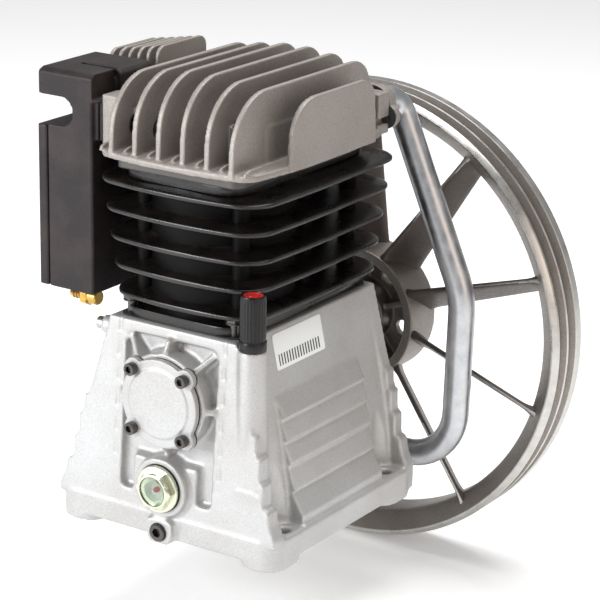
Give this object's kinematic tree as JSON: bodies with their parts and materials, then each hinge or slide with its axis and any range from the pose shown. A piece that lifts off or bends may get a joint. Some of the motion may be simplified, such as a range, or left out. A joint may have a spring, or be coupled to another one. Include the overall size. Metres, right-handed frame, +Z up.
{
  "type": "piston compressor pump",
  "caption": "Belt-driven two-stage piston compressor pump with finned head and block, box air filter, looped intercooler tube and a fan-bladed flywheel.",
  "frame": {"origin": "centre of the foot plane, midway between the four foot bolts", "axes": "+Z up along the cylinders, crankshaft along Y with the flywheel at +Y, air filter at -X"},
  "size_m": [0.394, 0.3265, 0.444],
  "materials": {
    "cast_aluminium": "shot-blasted casting",
    "head_aluminium": "as-cast, ground fin edges",
    "flywheel_aluminium": "casting with machined rim",
    "black_enamel": "gloss enamel on cast iron",
    "satin_tube": "drawn, satin",
    "black_oxide_steel": "black oxide",
    "machined_steel": "ground",
    "zinc_steel": "yellow zinc plated",
    "brass": "turned",
    "filter_plastic": "coarse moulded grain",
    "cap_plastic": "moulded",
    "red_plastic": "moulded",
    "gasket_paper": "gasket sheet",
    "black_rubber": "moulded",
    "filter_paper": "pleated paper",
    "clear_glass": "clear",
    "label_film": "printed film"
  },
  "bodies": {
    "pump": {"crankcase": "cast_aluminium", "front_cover": "cast_aluminium", "rear_bearing_housing": "cast_aluminium", "cylinder_head": "head_aluminium", "discharge_manifold": "head_aluminium", "intercooler_flanges": "head_aluminium", "cylinder_block": "black_enamel", "intercooler_tube": "satin_tube", "front_cover_screws": "black_oxide_steel", "rear_housing_screws": "black_oxide_steel", "block_bolts": "black_oxide_steel", "head_bolts": "black_oxide_steel", "manifold_screws": "black_oxide_steel", "intercooler_screws": "black_oxide_steel", "drain_plug": "black_oxide_steel", "valve_plate": "black_oxide_steel", "front_bearing_outer_race": "machined_steel", "rear_bearing_outer_race": "machined_steel", "reed_valves": "machined_steel", "case_stub_bolt": "machined_steel", "sight_glass_body": "zinc_steel", "unloader_fitting": "brass", "filter_housing": "filter_plastic", "sight_glass_plate": "red_plastic", "bearing_gaskets": "gasket_paper", "block_base_gasket": "gasket_paper", "head_gaskets": "gasket_paper", "manifold_gasket": "gasket_paper", "intercooler_gaskets": "gasket_paper", "filter_gasket": "gasket_paper", "drain_seal": "gasket_paper", "shaft_oil_seal": "black_rubber", "sight_glass_seal": "black_rubber", "filter_element": "filter_paper", "sight_glass_lens": "clear_glass", "rating_label": "label_film"},
    "crank": {"crankshaft": "machined_steel", "front_bearing_inner_race": "machined_steel", "rear_bearing_inner_race": "machined_steel", "flywheel_rim": "flywheel_aluminium", "flywheel_blades": "flywheel_aluminium", "flywheel_hub": "flywheel_aluminium", "flywheel_key": "machined_steel", "flywheel_bolt_and_washer": "black_oxide_steel"},
    "low_stage_train": {"low_stage_piston": "cast_aluminium", "low_stage_piston_rings": "machined_steel", "low_stage_wrist_pin": "machined_steel", "low_stage_connecting_rod": "cast_aluminium", "low_stage_crankpin": "machined_steel"},
    "high_stage_train": {"high_stage_piston": "cast_aluminium", "high_stage_piston_rings": "machined_steel", "high_stage_wrist_pin": "machined_steel", "high_stage_connecting_rod": "cast_aluminium", "high_stage_crankpin": "machined_steel"},
    "filler_cap": {"filler_cap": "cap_plastic", "filler_cap_disc": "red_plastic", "filler_cap_seal": "black_rubber", "dipstick": "machined_steel"},
    "filter_cover": {"filter_cover": "filter_plastic"}
  },
  "joints": [
    {"name": "crank_spin", "type": "hinge", "parent": "pump", "child": "crank", "pos_m": [0, 0, 0.117], "axis": [0, 1, 0], "continuous": true},
    {"name": "low_stage_stroke", "type": "slide", "parent": "pump", "child": "low_stage_train", "axis": [0, 0, 1], "range_m": [-0.052, 0]},
    {"name": "high_stage_stroke", "type": "slide", "parent": "pump", "child": "high_stage_train", "axis": [0, 0, 1], "range_m": [0, 0.052]},
    {"name": "filler_cap_pull", "type": "slide", "parent": "pump", "child": "filler_cap", "axis": [0, 0, 1], "range_m": [0, 0.018]},
    {"name": "filter_cover_pull", "type": "slide", "parent": "pump", "child": "filter_cover", "axis": [-1, 0, 0], "range_m": [0, 0.06]}
  ],
  "couplings": [
    {"joint": "high_stage_stroke", "follows": "low_stage_stroke", "ratio": -1}
  ]
}
